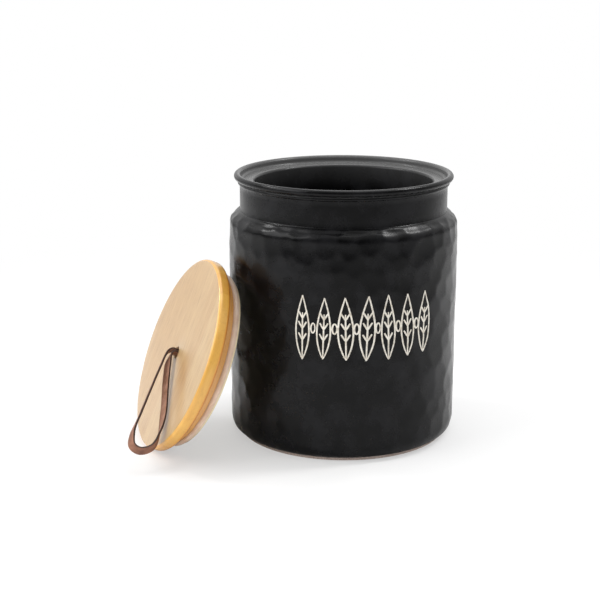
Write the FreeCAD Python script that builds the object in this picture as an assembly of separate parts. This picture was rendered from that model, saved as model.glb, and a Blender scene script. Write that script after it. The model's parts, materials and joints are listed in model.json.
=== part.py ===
import FreeCAD, Part
import os
from math import cos, hypot, pi, radians, sin, sqrt

# A stoneware biscuit jar with its bamboo lid taken off.
# The lid stands on its edge and leans on the jar's side.
# Millimetres. The jar's axis is Z and its foot stands on Z = 0.

# Jar: outside
body_r = 77.0            # widest radius of the body
body_taper = 0.3         # the body is this much narrower just above the bottom corner
belly_z = 128.0          # height where the body reaches its widest radius
corner_r = 9.0           # rounding of the bottom corner
shoulder_z = 152.1       # top of the shoulder
shoulder_r = 8.5         # rounding of the shoulder
neck_in = 8.1            # the neck stands this far inside the body
ring_z = 169.4           # lower edge of the narrow ring under the bead
ring_h = 3.1             # height of that ring
ring_out = 1.4           # how far the ring's middle stands out of the neck
ring_top_out = 1.05      # how far the ring's top edge stands out of the neck
bead_z = 174.8           # height of the rim bead's centre
bead_r = 2.15            # radius of the bead's section
bead_out = 1.6           # the bead's centre runs this far outside the neck
bead_turn_deg = 45.0     # the bead's underside ends this far below level

# Jar: foot
foot_in = 6.7            # the bare foot ring stands this far inside the body's low edge
foot_w = 8.0             # width of the foot ring
foot_h = 2.0             # height of the foot ring
foot_edge_r = 0.6        # rounding of the ring's outer edge
glaze_step = 0.5         # the glazed wall stands out this far over the ring

# Jar: inside
wall = 6.5               # wall of the body and the shoulder
base_t = 6.0             # thickness of the bottom
neck_wall = 9.9          # wall between the neck's outside and the mouth
ledge_drop = 4.9         # the lid's ledge lies this far below the bead's top
ledge_r = 2.0            # rounding between the bead's inner side and the ledge
lip_r = 2.0              # rounding between ledge and mouth
throat_r = 3.0           # rounding where the mouth opens into the body
inner_corner_r = 9.0     # rounding of the inner bottom corner
inner_shoulder_r = 8.0   # rounding under the shoulder

# Lid
disc_gap = 3.45          # the disc sits inside the bead with this much room
disc_t = 8.2             # thickness of the disc
disc_top_r = 2.5         # rounding of the disc's upper edge
disc_bottom_r = 2.0      # rounding of the disc's lower edge
plug_gap = 1.4           # the plug enters the mouth with this much room
plug_t = 10.4            # how far the plug reaches below the disc
plug_edge_r = 0.8        # rounding of the plug's lower edge
hole_r = 4.0             # hole for the strap
hole_edge_r = 0.8        # rounding of the hole's two outer edges

# Seal ring
seal_squeeze = 0.3       # the seal is this much larger in radius than the mouth
seal_top = 5.2           # height of plug left above the seal's groove
seal_w = 3.8             # height of the seal
seal_seat = 2.5          # depth of the groove in the plug
seal_crown = 1.3         # how far the seal's middle stands out past its edges
seal_gap = 0.1           # room between the seal and the groove's floor

# Leather pull
strap_w = 6.0            # width of the strip
strap_t = 1.4            # thickness of the strip
strand_gap = 0.1         # room between the two strands in the hole
root_rise = 3.2          # height of the pull's fold line over the lid's face
root_r = 2.9             # everything of the loop inside the fold reaches this far
fold_gap = 0.3           # room between the loop and the strands in the hole
loop_swing_deg = 38.9    # how far the loop lies round from straight down the lid
loop_roll_deg = 10.7     # how far the strip's width tips out of the lid's face
loop_out = [             # outer strand, along the loop and away from the face
    (-0.75, -2.25), (-1.1, -0.6), (1.0, 2.4), (14.2, 6.3), (32.0, 10.5), (49.5, 14.5), (62.5, 17.4),
]
loop_end = [(70.8, 16.4), (73.2, 11.0)]
loop_back = [(69.0, 3.4), (58.0, 0.2), (43.0, -0.4), (22.5, 0.9), (7.5, 1.0), (1.3, -0.7), (0.75, -2.25)]

# Knot under the lid
knot_r = 6.6             # half the knot's width
knot_flat_r = 3.3        # radius of the knot's flat top and bottom
knot_h = 8.0             # height of the knot
knot_gap = 0.3           # room between the knot and the plug
tail_l = 9.0             # length of each loose end
tail_splay_deg = 42.0    # how far each loose end spreads

# How the lid leans
lean_tilt_deg = 67.6     # angle between the lid's axis and the upright
lean_facing_deg = 200.4  # which way round the jar the lid's face looks
lean_touch_deg = 200.04  # where round the jar the plug's edge touches it
lean_gap = 0.3           # room left between the plug's edge and the jar

# Sizes that follow
body_low_r = body_r - body_taper
foot_r = body_low_r - foot_in
neck_r = body_r - neck_in
mouth_r = neck_r - neck_wall
bead_center_r = neck_r + bead_out
bead_inner_r = bead_center_r - bead_r
bead_top = bead_z + bead_r
ledge_z = bead_top - ledge_drop
floor_z = foot_h + base_t
inner_r = body_r - wall
disc_r = bead_inner_r - disc_gap
plug_r = mouth_r - plug_gap
lid_t = disc_t + plug_t
seal_r = mouth_r + seal_squeeze
groove_r = plug_r - seal_seat
groove_z = -disc_t - seal_top


def vec(r, z):
    """A point of an outline that is turned about Z."""
    return FreeCAD.Vector(r, 0, z)


def line(p, q):
    return Part.LineSegment(vec(*p), vec(*q)).toShape()


def bend(p, mid, q):
    return Part.Arc(vec(*p), vec(*mid), vec(*q)).toShape()


def on_circle(center, radius, degrees):
    return (center[0] + radius * cos(radians(degrees)), center[1] + radius * sin(radians(degrees)))


def round_edge(center, radius, start_deg, end_deg):
    """An arc about a centre, from one angle to another."""
    middle = 0.5 * (start_deg + end_deg)
    return bend(
        on_circle(center, radius, start_deg),
        on_circle(center, radius, middle),
        on_circle(center, radius, end_deg),
    )


def turned(edges):
    """The solid that a closed outline makes when it is turned about Z."""
    face = Part.Face(Part.Wire(Part.sortEdges(edges)[0]))
    solid = face.revolve(FreeCAD.Vector(0, 0, 0), FreeCAD.Vector(0, 0, 1), 360)
    if solid.Volume < 0:
        solid.reverse()
    return solid


def body_radius_at(z):
    """Outer radius of the jar's body at a height between the corner and the belly."""
    share = min(1.0, (z - corner_top()) / (belly_z - corner_top()))
    return body_low_r + share * (body_r - body_low_r)


def corner_top():
    """Height where the bottom corner's rounding ends."""
    reach = foot_r + glaze_step - (body_low_r - corner_r)
    return foot_h + sqrt(corner_r**2 - reach**2)


def jar_outside():
    """The outer wall, from the foot ring up to the bead's top."""
    corner = (body_low_r - corner_r, corner_top())
    glaze = (foot_r + glaze_step, foot_h)
    mid_deg = 0.5 * degrees_of(corner, glaze)
    shoulder = (body_r - shoulder_r, shoulder_z - shoulder_r)
    neck_foot = (neck_r, shoulder[1] + sqrt(shoulder_r**2 - (neck_r - shoulder[0]) ** 2))
    shoulder_deg = degrees_of(shoulder, neck_foot)
    bead = (bead_center_r, bead_z)
    bead_start = on_circle(bead, bead_r, -bead_turn_deg)
    ring_mid = (neck_r + ring_out, ring_z + 0.5 * ring_h)
    ring_top = (neck_r + ring_top_out, ring_z + ring_h)
    return [
        line((foot_r - foot_w, 0), (foot_r - foot_edge_r, 0)),
        round_edge((foot_r - foot_edge_r, foot_edge_r), foot_edge_r, -90, 0),
        line((foot_r, foot_edge_r), (foot_r, foot_h)),
        line((foot_r, foot_h), glaze),
        bend(glaze, on_circle(corner, corner_r, mid_deg), (body_low_r, corner[1])),
        line((body_low_r, corner[1]), (body_r, belly_z)),
        line((body_r, belly_z), (body_r, shoulder[1])),
        round_edge(shoulder, shoulder_r, 0, shoulder_deg),
        line(neck_foot, (neck_r, ring_z)),
        bend((neck_r, ring_z), ring_mid, ring_top),
        line(ring_top, bead_start),
        round_edge(bead, bead_r, -bead_turn_deg, 90),
    ]


def degrees_of(center, point):
    """Angle, in degrees above level, from a centre out to a point."""
    run = point[0] - center[0]
    rise = point[1] - center[1]
    return FreeCAD.Vector(run, rise, 0).getAngle(FreeCAD.Vector(1, 0, 0)) * 180 / pi * (1 if rise >= 0 else -1)


def jar_inside():
    """The ledge, the mouth, the inner wall and the underside."""
    bead = (bead_center_r, bead_z)
    ledge = (bead_inner_r - ledge_r, ledge_z + ledge_r)
    ceiling_z = shoulder_z - wall
    throat = (mouth_r + throat_r, ceiling_z + throat_r)
    arch = (inner_r - inner_shoulder_r, ceiling_z - inner_shoulder_r)
    corner = (inner_r - inner_corner_r, floor_z + inner_corner_r)
    return [
        round_edge(bead, bead_r, 90, 180),
        line((bead_inner_r, bead_z), (bead_inner_r, ledge[1])),
        round_edge(ledge, ledge_r, 0, -90),
        line((ledge[0], ledge_z), (mouth_r + lip_r, ledge_z)),
        round_edge((mouth_r + lip_r, ledge_z - lip_r), lip_r, 90, 180),
        line((mouth_r, ledge_z - lip_r), (mouth_r, throat[1])),
        round_edge(throat, throat_r, 180, 270),
        line((throat[0], ceiling_z), (arch[0], ceiling_z)),
        round_edge(arch, inner_shoulder_r, 90, 0),
        line((inner_r, arch[1]), (inner_r, corner[1])),
        round_edge(corner, inner_corner_r, 0, -90),
        line((corner[0], floor_z), (0, floor_z)),
        line((0, floor_z), (0, foot_h)),
        line((0, foot_h), (foot_r - foot_w - foot_h, foot_h)),
        line((foot_r - foot_w - foot_h, foot_h), (foot_r - foot_w, 0)),
    ]


def jar_body():
    return turned(jar_outside() + jar_inside())


# The lid's own frame has its face on Z = 0, Y uphill and X level.


def strap_hole(low, high):
    """The straight hole for the strap, between two heights."""
    return Part.makeCylinder(hole_r, high - low, FreeCAD.Vector(0, 0, low))


def flare(z, side):
    """What the rounding of the hole's edge takes away at height z."""
    center = (hole_r + hole_edge_r, z - side * hole_edge_r)
    return turned([
        line((0, z), (center[0], z)),
        round_edge(center, hole_edge_r, 90 * side, 180 * side),
        line((hole_r, center[1]), (0, center[1])),
        line((0, center[1]), (0, z)),
    ])


def lid_disc():
    top = (disc_r - disc_top_r, -disc_top_r)
    low = (disc_r - disc_bottom_r, -disc_t + disc_bottom_r)
    solid = turned([
        line((0, 0), (top[0], 0)),
        round_edge(top, disc_top_r, 90, 0),
        line((disc_r, top[1]), (disc_r, low[1])),
        round_edge(low, disc_bottom_r, 0, -90),
        line((low[0], -disc_t), (0, -disc_t)),
        line((0, -disc_t), (0, 0)),
    ])
    solid = solid.cut(strap_hole(-disc_t, 0))
    return solid.cut(flare(0, 1))


def lid_plug():
    low = (plug_r - plug_edge_r, -lid_t + plug_edge_r)
    groove_low = groove_z - seal_w
    solid = turned([
        line((0, -disc_t), (plug_r, -disc_t)),
        line((plug_r, -disc_t), (plug_r, groove_z)),
        line((plug_r, groove_z), (groove_r, groove_z)),
        line((groove_r, groove_z), (groove_r, groove_low)),
        line((groove_r, groove_low), (plug_r, groove_low)),
        line((plug_r, groove_low), (plug_r, low[1])),
        round_edge(low, plug_edge_r, 0, -90),
        line((low[0], -lid_t), (0, -lid_t)),
        line((0, -lid_t), (0, -disc_t)),
    ])
    solid = solid.cut(strap_hole(-lid_t, -disc_t))
    return solid.cut(flare(-lid_t, -1))


def seal_ring():
    inner = groove_r + seal_gap
    edge = seal_r - seal_crown
    low = groove_z - seal_w
    return turned([
        line((inner, groove_z), (edge, groove_z)),
        bend((edge, groove_z), (seal_r, 0.5 * (groove_z + low)), (edge, low)),
        line((edge, low), (inner, low)),
        line((inner, low), (inner, groove_z)),
    ])


def loop_axes():
    """Along the loop, away from the face, and the way the strip's width runs."""
    swing = radians(loop_swing_deg)
    roll = radians(loop_roll_deg)
    along = FreeCAD.Vector(sin(swing), -cos(swing), 0)
    across = FreeCAD.Vector(cos(swing), sin(swing), 0)
    out = FreeCAD.Vector(0, 0, 1)
    width = across * cos(roll) + out * sin(roll)
    away = out * cos(roll) - across * sin(roll)
    return along, away, width


def loop_placement():
    along, away, width = loop_axes()
    return FreeCAD.Placement(FreeCAD.Vector(0, 0, root_rise), FreeCAD.Rotation(along, away, -width, "ZXY"))


def stem_placement(z):
    """Strip width level in the lid's face, strip thickness along the loop."""
    along, _, _ = loop_axes()
    out = FreeCAD.Vector(0, 0, 1)
    return FreeCAD.Placement(FreeCAD.Vector(0, 0, z), FreeCAD.Rotation(along, out.cross(along), out, "ZXY"))


def strip_side(center, offset, steps):
    """One side of the strip: the middle line moved square to itself."""
    points = []
    for i in range(steps + 1):
        at = center.FirstParameter + (center.LastParameter - center.FirstParameter) * i / steps
        run = center.tangent(at)[0]
        points.append(center.value(at) + FreeCAD.Vector(-run.y, run.x, 0) * offset)
    side = Part.BSplineCurve()
    side.interpolate(points)
    return side.toShape()


def pull_strap():
    """The strip's loop: out of the hole, round the end and back to the hole."""
    middle = Part.BSplineCurve()
    middle.interpolate([FreeCAD.Vector(x, y, 0) for x, y in loop_out + loop_end + loop_back])
    steps = 4 * len(loop_out + loop_end + loop_back)
    outer = strip_side(middle, 0.5 * strap_t, steps)
    inner = strip_side(middle, -0.5 * strap_t, steps)
    start = Part.LineSegment(outer.Vertexes[0].Point, inner.Vertexes[0].Point).toShape()
    end = Part.LineSegment(outer.Vertexes[-1].Point, inner.Vertexes[-1].Point).toShape()
    face = Part.Face(Part.Wire(Part.sortEdges([outer, end, inner, start])[0]))
    face.translate(FreeCAD.Vector(0, 0, -0.5 * strap_w))
    strip = face.extrude(FreeCAD.Vector(0, 0, strap_w))
    strip.Placement = loop_placement().multiply(strip.Placement)
    return strip


def strand(side, low, high):
    """One of the two strands that pass through the hole side by side."""
    x = side * 0.5 * (strap_t + strand_gap) - 0.5 * strap_t
    box = Part.makeBox(strap_t, strap_w, high - low, FreeCAD.Vector(x, -0.5 * strap_w, 0))
    box.Placement = stem_placement(low)
    return box


def loose_end(side):
    """One end of the strip, spreading out below the knot."""
    box = Part.makeBox(strap_t, strap_w, tail_l + 0.5 * knot_h, FreeCAD.Vector(-0.5 * strap_t, -0.5 * strap_w, 0))
    down = FreeCAD.Rotation(FreeCAD.Vector(0, 1, 0), 180 - side * tail_splay_deg)
    box.Placement = stem_placement(knot_center_z()).multiply(FreeCAD.Placement(FreeCAD.Vector(0, 0, 0), down))
    return box


def knot_center_z():
    return -lid_t - knot_gap - 0.5 * knot_h


def strap_knot():
    """The strands in the hole, the knot that holds them and the two loose ends."""
    center_z = knot_center_z()
    half = 0.5 * knot_h
    knot = turned([
        line((0, center_z + half), (knot_flat_r, center_z + half)),
        bend((knot_flat_r, center_z + half), (knot_r, center_z), (knot_flat_r, center_z - half)),
        line((knot_flat_r, center_z - half), (0, center_z - half)),
        line((0, center_z - half), (0, center_z + half)),
    ])
    reach = root_rise + root_r
    for side in (-1, 1):
        knot = knot.fuse(strand(side, center_z, reach))
        knot = knot.fuse(loose_end(side))
    width = 2 * strap_w
    fold = Part.makeCylinder(root_r + fold_gap, 2 * width, FreeCAD.Vector(0, 0, -width))
    fold.Placement = loop_placement().multiply(fold.Placement)
    above = Part.makeBox(2 * width, 2 * width, reach, FreeCAD.Vector(-width, -width, root_rise))
    return knot.cut(fold).cut(above).removeSplitter()


def lean_height():
    """Height of the face's centre, with the disc's lower edge on the floor."""
    tilt = radians(lean_tilt_deg)
    return (disc_r - disc_bottom_r) * sin(tilt) + (disc_t - disc_bottom_r) * cos(tilt) + disc_bottom_r


def lean_placement():
    """The lid's place: edge on the floor, plug's lower edge against the jar."""
    tilt = radians(lean_tilt_deg)
    facing = radians(lean_facing_deg)
    touch = radians(lean_touch_deg)
    up = FreeCAD.Vector(0, 0, 1)
    away = FreeCAD.Vector(cos(facing), sin(facing), 0)
    level = up.cross(away)
    outward = FreeCAD.Vector(cos(touch), sin(touch), 0)
    height = lean_height()
    half_level = plug_r - plug_edge_r
    half_away = half_level * cos(tilt)
    touch_z = height - (lid_t - plug_edge_r) * cos(tilt) + half_level * sin(tilt)
    sideways = -outward.dot(level)
    inward = outward.dot(away)
    scale = 1 / hypot(half_level * sideways, half_away * inward)
    reach = level * (half_level**2 * sideways * scale) - away * (half_away**2 * inward * scale)
    stand_off = body_radius_at(touch_z) + lean_gap + plug_edge_r
    center = outward * stand_off - reach + away * ((lid_t - plug_edge_r) * sin(tilt)) + up * height
    normal = away * sin(tilt) + up * cos(tilt)
    uphill = up * sin(tilt) - away * cos(tilt)
    return FreeCAD.Placement(center, FreeCAD.Rotation(level, uphill, normal, "ZXY"))


def leaning(solid):
    solid.Placement = lean_placement().multiply(solid.Placement)
    return solid


def save(name, solid):
    assert solid.isValid() and len(solid.Solids) == 1, name
    solid.exportStep("parts/" + name + ".step")
    print(name, "volume", round(solid.Volume / 1000, 2), "cm3, lowest", round(solid.BoundBox.ZMin, 3))


os.makedirs("parts", exist_ok=True)
save("jar_body", jar_body())
save("lid_disc", leaning(lid_disc()))
save("lid_plug", leaning(lid_plug()))
save("seal_ring", leaning(seal_ring()))
save("pull_strap", leaning(pull_strap()))
save("strap_knot", leaning(strap_knot()))
face_center = lean_placement().Base
face_normal = lean_placement().Rotation.multVec(FreeCAD.Vector(0, 0, 1))
fold_point = lean_placement().multVec(FreeCAD.Vector(0, 0, root_rise))
fold_axis = lean_placement().Rotation.multVec(loop_axes()[2])
print("lid face centre", face_center)
print("lid axis", face_normal)
print("fold point", fold_point)
print("fold axis", fold_axis)
print("disc radius", round(disc_r, 2), "bead top", bead_top, "ledge", ledge_z)
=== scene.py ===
"""The looks of a black stoneware biscuit jar with its bamboo lid leaning on its side."""

import json
import logging
import math
from dataclasses import dataclass, field
from enum import Enum

import bpy
import numpy as np
from bpy.types import Material, Node, NodeSocket, NodeTree, Object
from mathutils import Matrix, Vector


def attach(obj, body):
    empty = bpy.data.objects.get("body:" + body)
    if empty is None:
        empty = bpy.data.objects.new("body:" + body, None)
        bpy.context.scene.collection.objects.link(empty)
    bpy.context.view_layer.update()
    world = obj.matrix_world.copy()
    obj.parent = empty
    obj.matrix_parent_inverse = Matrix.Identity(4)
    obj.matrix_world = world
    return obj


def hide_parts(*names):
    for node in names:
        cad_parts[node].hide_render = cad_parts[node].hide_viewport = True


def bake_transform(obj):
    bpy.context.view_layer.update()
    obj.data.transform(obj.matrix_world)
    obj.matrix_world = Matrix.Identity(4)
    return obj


logging.basicConfig(level=logging.INFO, format="%(message)s")
log = logging.getLogger("jar")

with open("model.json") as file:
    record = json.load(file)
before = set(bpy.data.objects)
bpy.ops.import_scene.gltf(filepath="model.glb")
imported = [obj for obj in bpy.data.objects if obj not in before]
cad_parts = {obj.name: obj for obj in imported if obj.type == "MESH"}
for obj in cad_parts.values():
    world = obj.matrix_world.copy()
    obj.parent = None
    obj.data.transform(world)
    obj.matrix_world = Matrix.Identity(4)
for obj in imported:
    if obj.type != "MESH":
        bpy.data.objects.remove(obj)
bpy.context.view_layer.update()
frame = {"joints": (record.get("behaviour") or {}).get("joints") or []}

MM = 0.001
Point = tuple[float, float]


# Colour and node helpers

SMOOTHSTEP = {"interpolation_type": "SMOOTHSTEP"}
MULTIPLY = {"operation": "MULTIPLY"}
DOT = {"operation": "DOT_PRODUCT"}
LENGTH = {"operation": "LENGTH"}
LAY_OVER = {"data_type": "RGBA", "blend_type": "MULTIPLY"}
WHITE = (1.0, 1.0, 1.0, 1.0)


def linear(code: str) -> tuple[float, float, float, float]:
    """Turns an sRGB hex colour into the linear one that a shader takes.

    Args:
        code: Six hex digits, such as "1c1b1d".

    Returns:
        Linear red, green and blue, and an alpha of one.
    """
    parts = [int(code[i:i + 2], 16) / 255 for i in (0, 2, 4)]
    line = [c / 12.92 if c <= 0.04045 else ((c + 0.055) / 1.055) ** 2.4 for c in parts]
    return (line[0], line[1], line[2], 1.0)


def feed(tree: NodeTree, node: Node, inputs: dict) -> None:
    """Feeds a node's inputs.

    Args:
        tree: The node's tree.
        node: The node.
        inputs: Input name or number to an output socket to link, or to a value to set.
    """
    for name, value in inputs.items():
        if isinstance(value, NodeSocket):
            tree.links.new(value, node.inputs[name])
        else:
            node.inputs[name].default_value = value


def add_node(tree: NodeTree, kind: str, settings: dict | None = None, inputs: dict | None = None,
             stops: tuple[tuple[float, str], ...] = (), **values: object) -> Node:
    """Adds a shader node.

    Args:
        tree: The material's node tree.
        kind: The node's Blender type, without its "ShaderNode".
        settings: Attributes to set on the node.
        inputs: What feed() takes.
        stops: Position and hex colour of a colour ramp's two stops.
        **values: Input name, with spaces as underscores, to its value.

    Returns:
        The new node.
    """
    node = tree.nodes.new("ShaderNode" + kind)
    for name, value in (settings or {}).items():
        setattr(node, name, value)
    feed(tree, node, {name.replace("_", " "): value for name, value in values.items()})
    feed(tree, node, inputs or {})
    if stops:
        for element, (position, colour) in zip(node.color_ramp.elements, stops):
            element.position = position
            element.color = linear(colour)
    return node


def new_material(name: str) -> tuple[Material, NodeTree, Node, NodeSocket]:
    """Starts a material.

    Args:
        name: The material's name.

    Returns:
        The material, its node tree, its Principled shader, and the place on the object.
    """
    material = bpy.data.materials.new(name)
    material.use_nodes = True
    tree = material.node_tree
    where = add_node(tree, "TexCoord").outputs["Object"]
    return material, tree, tree.nodes["Principled BSDF"], where


# Mesh helpers


def deselect_all() -> None:
    """Clears the selection, because an operator acts on all that is selected."""
    bpy.ops.object.select_all(action="DESELECT")


def make_active(piece: Object) -> None:
    """Selects one object alone and makes it the active one."""
    deselect_all()
    piece.select_set(True)
    bpy.context.view_layer.objects.active = piece


def arc(center: Point, radius: float, start_deg: float, end_deg: float, steps: int) -> list[Point]:
    """Points along a round stretch of an outline.

    Args:
        center: The arc's centre, as radius and height.
        radius: The arc's own radius.
        start_deg: Where it starts, in degrees above level.
        end_deg: Where it ends.
        steps: How many stretches it is divided into.

    Returns:
        The points, both ends included.
    """
    angles = [math.radians(start_deg + (end_deg - start_deg) * i / steps) for i in range(steps + 1)]
    return [(center[0] + radius * math.cos(a), center[1] + radius * math.sin(a)) for a in angles]


def rise(start: Point, end: Point, step: float) -> list[Point]:
    """Even points from one place of an outline to another, without its first.

    Args:
        start: Where the stretch starts.
        end: Where it ends.
        step: The longest distance between two points.

    Returns:
        The points after the start, up to the end.
    """
    count = max(1, math.ceil(math.dist(start, end) / step))
    return [(start[0] + (end[0] - start[0]) * i / count, start[1] + (end[1] - start[1]) * i / count)
            for i in range(1, count + 1)]


def draw_outline(name: str, outline: list[Point]) -> Object:
    """Draws an outline in the XZ plane by extruding one vertex from point to point.

    Args:
        name: The new object's name.
        outline: Radius and height of each point, in metres.

    Returns:
        An object in edit mode whose mesh is the line.
    """
    deselect_all()
    bpy.ops.mesh.primitive_plane_add(size=1.0, location=(0, 0, 0))
    piece = bpy.context.object
    piece.name = name
    bpy.ops.object.mode_set(mode="EDIT")
    bpy.ops.mesh.select_all(action="SELECT")
    bpy.ops.mesh.merge(type="CENTER")
    bpy.ops.transform.translate(value=(outline[0][0], 0, outline[0][1]))
    for (r0, z0), (r1, z1) in zip(outline, outline[1:]):
        bpy.ops.mesh.extrude_region_move(TRANSFORM_OT_translate={"value": (r1 - r0, 0, z1 - z0)})
    return piece


def lathe(name: str, outline: list[Point], steps: int) -> Object:
    """Turns an outline about Z into a closed skin.

    Args:
        name: The new object's name.
        outline: A loop, or a line that starts and ends on the axis.
        steps: How many faces go round.

    Returns:
        The turned object, in object mode, with its faces outwards.
    """
    piece = draw_outline(name, outline)
    bpy.ops.mesh.select_all(action="SELECT")
    bpy.ops.mesh.spin(steps=steps, angle=2 * math.pi, axis=(0, 0, 1), center=(0, 0, 0))
    bpy.ops.mesh.select_all(action="SELECT")
    bpy.ops.mesh.remove_doubles(threshold=0.000002)
    bpy.ops.mesh.normals_make_consistent(inside=False)
    bpy.ops.object.mode_set(mode="OBJECT")
    return piece


def smooth(piece: Object, degrees: float = 35.0) -> None:
    """Shades a piece smooth, with creases sharper than an angle kept."""
    make_active(piece)
    bpy.ops.object.shade_smooth_by_angle(angle=math.radians(degrees))


def move_into_place(piece: Object, place: Matrix) -> None:
    """Puts a place into a piece's mesh, so that its object stays at the origin."""
    piece.data.transform(place)
    piece.data.update()


def smooth_path(places: np.ndarray, widths: np.ndarray, step: float) -> tuple[np.ndarray, np.ndarray]:
    """Runs a smooth line through places and turns a direction evenly along it.

    Args:
        places: The places that the line goes through.
        widths: The direction at each.
        step: The distance between the points of the new line.

    Returns:
        The new line's points and its unit directions.
    """
    before = 2 * places[0] - places[1]
    after = 2 * places[-1] - places[-2]
    knots = np.vstack([before, places, after])
    line, turns = [], []
    for i in range(1, len(knots) - 2):
        p0, p1, p2, p3 = knots[i - 1:i + 3]
        t0, t1, t2 = (max(np.linalg.norm(b - a), 1e-9) ** 0.5 for a, b in ((p0, p1), (p1, p2), (p2, p3)))
        m1 = (p2 - p1) + t1 * ((p1 - p0) / t0 - (p2 - p0) / (t0 + t1))
        m2 = (p2 - p1) + t1 * ((p3 - p2) / t2 - (p3 - p1) / (t1 + t2))
        count = max(1, math.ceil(np.linalg.norm(p2 - p1) / step))
        for k in range(count + (i == len(knots) - 3)):
            s = k / count
            line.append((2 * s**3 - 3 * s**2 + 1) * p1 + (s**3 - 2 * s**2 + s) * m1
                        + (3 * s**2 - 2 * s**3) * p2 + (s**3 - s**2) * m2)
            turns.append((1 - s) * widths[i - 1] + s * widths[i])
    turned = np.array(turns)
    return np.array(line), turned / np.linalg.norm(turned, axis=1)[:, None]


def read_points(piece: Object) -> np.ndarray:
    """All vertices of a piece, one row each."""
    points = np.empty(len(piece.data.vertices) * 3)
    piece.data.vertices.foreach_get("co", points)
    return points.reshape(-1, 3)


def write_points(piece: Object, points: np.ndarray) -> None:
    """Moves all vertices of a piece to new places."""
    piece.data.vertices.foreach_set("co", points.ravel())
    piece.data.update()


def apply_modifier(piece: Object, kind: str, **settings: object) -> None:
    """Adds a modifier with its settings and applies it."""
    make_active(piece)
    modifier = piece.modifiers.new(kind.title(), kind)
    for name, value in settings.items():
        setattr(modifier, name, value)
    bpy.ops.object.modifier_apply(modifier=modifier.name)


def face_outwards(piece: Object) -> None:
    """Turns the faces of a closed piece outwards."""
    make_active(piece)
    bpy.ops.object.mode_set(mode="EDIT")
    bpy.ops.mesh.select_all(action="SELECT")
    bpy.ops.mesh.normals_make_consistent(inside=False)
    bpy.ops.object.mode_set(mode="OBJECT")


def flat_grid(name: str, rows: int, columns: int) -> tuple[Object, np.ndarray, np.ndarray]:
    """Adds a flat grid that is to be laid along a line.

    Args:
        name: The new object's name.
        rows: How many points the line has.
        columns: How many faces lie side by side.

    Returns:
        The grid, each vertex's row, and its place across from -1 to 1.
    """
    deselect_all()
    bpy.ops.mesh.primitive_grid_add(x_subdivisions=rows - 1, y_subdivisions=columns, size=2.0)
    piece = bpy.context.object
    piece.name = name
    flat = read_points(piece)
    return piece, np.rint((flat[:, 0] + 1) / 2 * (rows - 1)).astype(int), flat[:, 1]


def ease(share: np.ndarray) -> np.ndarray:
    """A share held between 0 and 1 and eased in and out."""
    held = np.clip(share, 0, 1)
    return held**2 * (3 - 2 * held)


# Finishes


@dataclass(frozen=True)
class BlackGlaze:
    """Satin black glaze on hammered stoneware: deep black, soft broad highlights.

    The seat that takes the lid's seal, and a little way down the throat, are painted a paler grey: painted reflection
    of the bright studio above.
    Each zone has the heights and the radii between which it comes up.
    """

    colour: str = "070708"
    bloom: str = "19191b"
    # Paler grey of the painted reflection on the seat and the throat.
    painted_reflection_grey: str = "575757"
    roughness: float = 0.26
    sheen_level: float = 0.15
    cloud_mm: float = 17.0
    pit_mm: float = 0.9
    seat_height_mm: Point = (171.3, 172.1)
    seat_radius_mm: Point = (71.4, 69.6)
    throat_height_mm: Point = (152.0, 173.0)
    throat_radius_mm: Point = (63.0, 61.0)
    throat_share: float = 0.36

    def painted_reflection_places(self, tree: NodeTree, where: NodeSocket) -> NodeSocket:
        """Finds where the painted reflection goes: the seat and the throat, by their height and radius.

        Args:
            tree: The material's node tree.
            where: The place on the jar.

        Returns:
            A socket that is one on the seat and zero away from it.
        """
        height = add_node(tree, "SeparateXYZ", inputs={"Vector": where}).outputs["Z"]
        level = add_node(tree, "VectorMath", MULTIPLY, {0: where, 1: (1.0, 1.0, 0.0)}).outputs[0]
        reach = add_node(tree, "VectorMath", LENGTH, {0: level}).outputs["Value"]
        zones = []
        for heights, radii, share in ((self.seat_height_mm, self.seat_radius_mm, 1.0),
                                      (self.throat_height_mm, self.throat_radius_mm, self.throat_share)):
            above = add_node(tree, "MapRange", SMOOTHSTEP, {"Value": height},
                             From_Min=heights[0] * MM, From_Max=heights[1] * MM, To_Max=share)
            within = add_node(tree, "MapRange", SMOOTHSTEP, {"Value": reach},
                              From_Min=radii[0] * MM, From_Max=radii[1] * MM)
            zones.append(add_node(tree, "Math", MULTIPLY, {0: above.outputs[0], 1: within.outputs[0]}).outputs[0])
        return add_node(tree, "Math", {"operation": "MAXIMUM"}, dict(enumerate(zones))).outputs[0]

    def make(self) -> Material:
        """Builds the material."""
        material, tree, shader, where = new_material("satin_black_glaze")
        cloud = add_node(tree, "TexNoise", inputs={"Vector": where},
                         Scale=1 / (self.cloud_mm * MM), Detail=3.0, Roughness=0.55).outputs["Fac"]
        tone = add_node(tree, "ValToRGB", inputs={"Fac": cloud}, stops=((0.42, self.colour), (0.66, self.bloom)))
        # Painted reflection: the seat and the throat are mixed towards a paler grey.
        body = add_node(tree, "Mix", {"data_type": "RGBA"},
                        {0: self.painted_reflection_places(tree, where), 6: tone.outputs["Color"], 7: linear(self.painted_reflection_grey)})
        gloss = add_node(tree, "MapRange", inputs={"Value": cloud}, From_Min=0.3, From_Max=0.7,
                         To_Min=self.roughness - 0.04, To_Max=self.roughness + 0.05)
        pit = add_node(tree, "TexNoise", inputs={"Vector": where},
                       Scale=1 / (self.pit_mm * MM), Detail=2.0).outputs["Fac"]
        bump = add_node(tree, "Bump", inputs={"Height": pit}, Strength=0.10, Distance=0.0001)
        feed(tree, shader, {"Base Color": body.outputs[2], "Roughness": gloss.outputs["Result"],
                            "Normal": bump.outputs["Normal"], "IOR": 1.52, "Specular IOR Level": self.sheen_level})
        return material


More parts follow.
